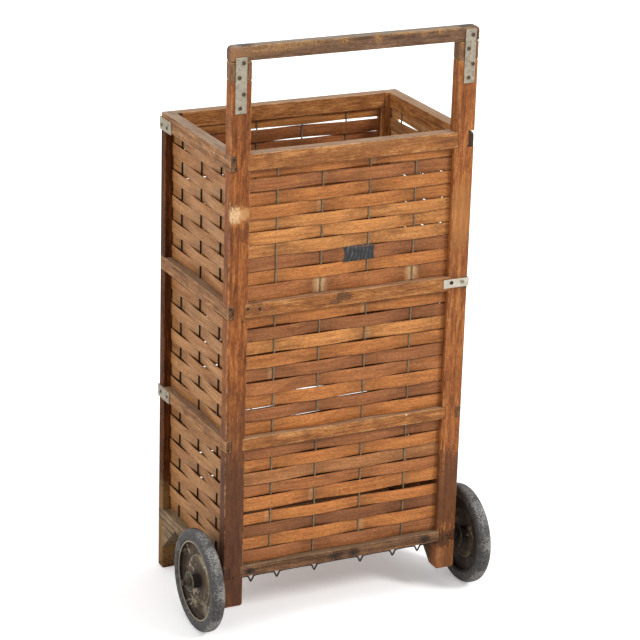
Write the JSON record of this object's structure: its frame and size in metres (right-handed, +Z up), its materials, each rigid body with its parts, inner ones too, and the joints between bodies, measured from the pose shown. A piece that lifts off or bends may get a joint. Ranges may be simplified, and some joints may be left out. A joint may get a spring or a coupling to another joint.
{
  "type": "basket cart",
  "caption": "Upright two-wheeled basket cart of wooden posts and rails with woven slat panels, an open top and a bar handle.",
  "frame": {"origin": "on the ground, in the middle of the cart's overall width and depth", "axes": "+Z up, +Y from the handle side towards the leg side, +X to the right when the handle side is seen from the front"},
  "size_m": [0.5706, 0.3484, 1.016],
  "materials": {
    "post_wood": "worn varnished hardwood, reddish brown",
    "rail_wood": "worn varnished wood, warm brown",
    "slat_wood": "thin ash slats, worn satin varnish",
    "handle_wood": "dark grip wood with golden worn edges",
    "galvanised_steel": "dull galvanised",
    "worn_steel": "painted steel, worn and rusty",
    "tyre_rubber": "aged grey rubber, cracked"
  },
  "bodies": {
    "frame": {"post_handle_left": "post_wood", "post_handle_right": "post_wood", "post_leg_left": "post_wood", "post_leg_right": "post_wood", "rail_handle_side_rim": "rail_wood", "rail_handle_side_upper": "rail_wood", "rail_handle_side_lower": "rail_wood", "rail_handle_side_bottom": "rail_wood", "rail_leg_side_rim": "rail_wood", "rail_leg_side_upper": "rail_wood", "rail_leg_side_lower": "rail_wood", "rail_leg_side_bottom": "rail_wood", "rail_left_rim": "rail_wood", "rail_left_upper": "rail_wood", "rail_left_lower": "rail_wood", "rail_left_bottom": "rail_wood", "rail_right_rim": "rail_wood", "rail_right_upper": "rail_wood", "rail_right_lower": "rail_wood", "rail_right_bottom": "rail_wood", "panel_handle_side_top": "slat_wood", "panel_handle_side_middle": "slat_wood", "panel_handle_side_base": "slat_wood", "panel_leg_side_top": "slat_wood", "panel_leg_side_middle": "slat_wood", "panel_leg_side_base": "slat_wood", "panel_left_top": "slat_wood", "panel_left_middle": "slat_wood", "panel_left_base": "slat_wood", "panel_right_top": "slat_wood", "panel_right_middle": "slat_wood", "panel_right_base": "slat_wood", "floor": "slat_wood", "floor_lacing_wire": "worn_steel", "handle_bar": "handle_wood", "handle_block_left": "post_wood", "handle_block_right": "post_wood", "handle_strap_left": "galvanised_steel", "handle_strap_right": "galvanised_steel", "corner_bracket_rim": "galvanised_steel", "corner_bracket_lower": "galvanised_steel", "corner_bracket_upper": "galvanised_steel", "axle_brace_left": "post_wood", "axle_brace_right": "post_wood", "leg_brace_left": "post_wood", "leg_brace_right": "post_wood", "axle": "worn_steel", "inner_washer_left": "worn_steel", "outer_washer_left": "worn_steel", "axle_nut_left": "worn_steel", "inner_washer_right": "worn_steel", "outer_washer_right": "worn_steel", "axle_nut_right": "worn_steel"},
    "wheel_left": {"tyre_left": "tyre_rubber", "wheel_disc_left": "worn_steel", "hub_left": "worn_steel"},
    "wheel_right": {"tyre_right": "tyre_rubber", "wheel_disc_right": "worn_steel", "hub_right": "worn_steel"}
  },
  "joints": [
    {"name": "wheel_left_spin", "type": "hinge", "parent": "frame", "child": "wheel_left", "pos_m": [-0.25355, -0.08522, 0.089], "axis": [1, 0, 0], "continuous": true},
    {"name": "wheel_right_spin", "type": "hinge", "parent": "frame", "child": "wheel_right", "pos_m": [0.25355, -0.08522, 0.089], "axis": [1, 0, 0], "continuous": true}
  ]
}
